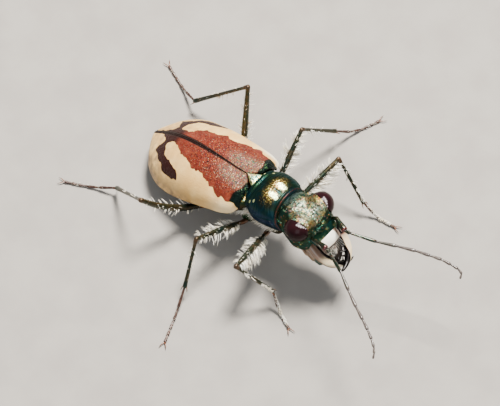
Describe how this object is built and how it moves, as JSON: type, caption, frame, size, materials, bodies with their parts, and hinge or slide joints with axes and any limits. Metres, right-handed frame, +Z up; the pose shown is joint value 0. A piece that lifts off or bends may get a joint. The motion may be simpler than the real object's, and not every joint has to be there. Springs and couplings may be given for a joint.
{
  "type": "tiger beetle",
  "caption": "Tiger beetle standing still, legs spread, with sickle jaws, bulging eyes and cream and red-brown wing covers, as a life-size display model.",
  "frame": {"origin": "middle of the whole model's box in plan, at the level of the floor under its feet", "axes": "+Z up from the floor, -Y the way that the beetle faces, +X to its left"},
  "size_m": [0.0234, 0.0276, 0.0066],
  "materials": {
    "head_shell": "satin",
    "eye_gloss": "gloss",
    "lip_ivory": "satin",
    "jaw_ivory": "satin",
    "palp_shell": "satin",
    "antenna_shell": "satin",
    "pronotum_shell": "satin",
    "scutellum_shell": "satin",
    "wing_cover": "satin",
    "underside_shell": "satin",
    "hip_shell": "satin",
    "leg_shell": "satin",
    "foot_shell": "satin",
    "white_hair": "matte"
  },
  "bodies": {
    "root": {"abdomen": "underside_shell", "antenna_left": "antenna_shell", "antenna_right": "antenna_shell", "elytron_left": "wing_cover", "elytron_right": "wing_cover", "eye_left": "eye_gloss", "eye_right": "eye_gloss", "front_coxa_left": "hip_shell", "front_coxa_right": "hip_shell", "front_femur_left": "leg_shell", "front_femur_right": "leg_shell", "front_tarsus_left": "foot_shell", "front_tarsus_right": "foot_shell", "front_tibia_left": "leg_shell", "front_tibia_right": "leg_shell", "head": "head_shell", "hind_coxa_left": "hip_shell", "hind_coxa_right": "hip_shell", "hind_femur_left": "leg_shell", "hind_femur_right": "leg_shell", "hind_tarsus_left": "foot_shell", "hind_tarsus_right": "foot_shell", "hind_tibia_left": "leg_shell", "hind_tibia_right": "leg_shell", "labial_palp_left": "palp_shell", "labial_palp_right": "palp_shell", "labrum": "lip_ivory", "mandible_left": "jaw_ivory", "mandible_right": "jaw_ivory", "maxillary_palp_left": "palp_shell", "maxillary_palp_right": "palp_shell", "middle_coxa_left": "hip_shell", "middle_coxa_right": "hip_shell", "middle_femur_left": "leg_shell", "middle_femur_right": "leg_shell", "middle_tarsus_left": "foot_shell", "middle_tarsus_right": "foot_shell", "middle_tibia_left": "leg_shell", "middle_tibia_right": "leg_shell", "pronotum": "pronotum_shell", "scutellum": "scutellum_shell", "thorax": "underside_shell"}
  },
  "joints": []
}
